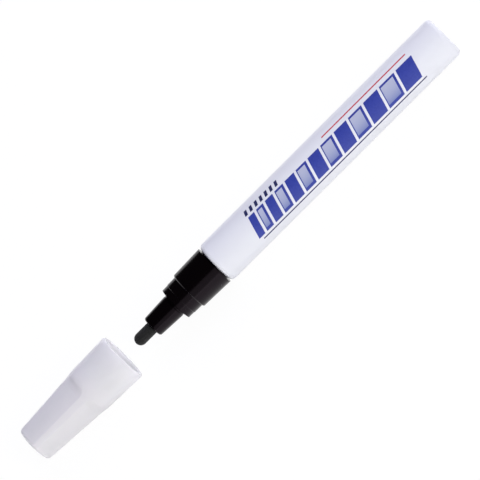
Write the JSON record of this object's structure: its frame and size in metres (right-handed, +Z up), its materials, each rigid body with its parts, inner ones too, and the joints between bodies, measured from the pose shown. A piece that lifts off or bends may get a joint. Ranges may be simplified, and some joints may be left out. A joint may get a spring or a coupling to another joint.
{
  "type": "paint marker",
  "caption": "Valve-action paint marker lying on its side: lacquered can barrel, black stepped nose with a bullet nib, and a panelled cap pulled off in front of the nib.",
  "frame": {"origin": "middle of the length and width of the part with its cap off, on the surface that the cap's mouth rests on", "axes": "+X along the marker's axis from the nib to the closed rear end, +Z up"},
  "size_m": [0.1836, 0.0172, 0.0172],
  "materials": {
    "white_lacquer": "glossy white lacquer on aluminium",
    "black_moulding": "polished black moulding",
    "nib_fibre": "dry charcoal fibre",
    "cap_white": "satin white moulding",
    "liner_white": "soft natural moulding",
    "valve_plastic": "natural moulding",
    "seat_rubber": "soft black rubber",
    "spring_steel": "drawn wire",
    "ball_steel": "polished steel"
  },
  "bodies": {
    "barrel_body": {"barrel": "white_lacquer", "front_collar": "black_moulding", "nib_holder": "black_moulding", "valve_housing": "valve_plastic", "valve_seat": "seat_rubber", "spring_retainer": "valve_plastic", "valve_spring": "spring_steel"},
    "nib_body": {"nib": "nib_fibre"},
    "stem_body": {"valve_stem": "valve_plastic"},
    "ball_body": {"mixing_ball": "ball_steel"},
    "cap_body": {"cap_shell": "cap_white", "cap_liner": "liner_white"}
  },
  "joints": [
    {"name": "nib_press", "type": "slide", "parent": "barrel_body", "child": "nib_body", "axis": [1, 0, 0], "range_m": [0, 0.002], "stiffness_N_per_m": 450, "springref_m": -0.004, "deforming": ["valve_spring"]},
    {"name": "valve_stem_slide", "type": "slide", "parent": "barrel_body", "child": "stem_body", "axis": [1, 0, 0], "range_m": [0, 0.002]},
    {"name": "ball_slide", "type": "slide", "parent": "barrel_body", "child": "ball_body", "axis": [1, 0, 0], "range_m": [-0.0435, 0.0356]},
    {"name": "cap_slide", "type": "slide", "parent": "barrel_body", "child": "cap_body", "axis": [1, 0, 0], "range_m": [0, 0.0412]}
  ],
  "couplings": [
    {"joint": "valve_stem_slide", "follows": "nib_press", "ratio": 1}
  ]
}
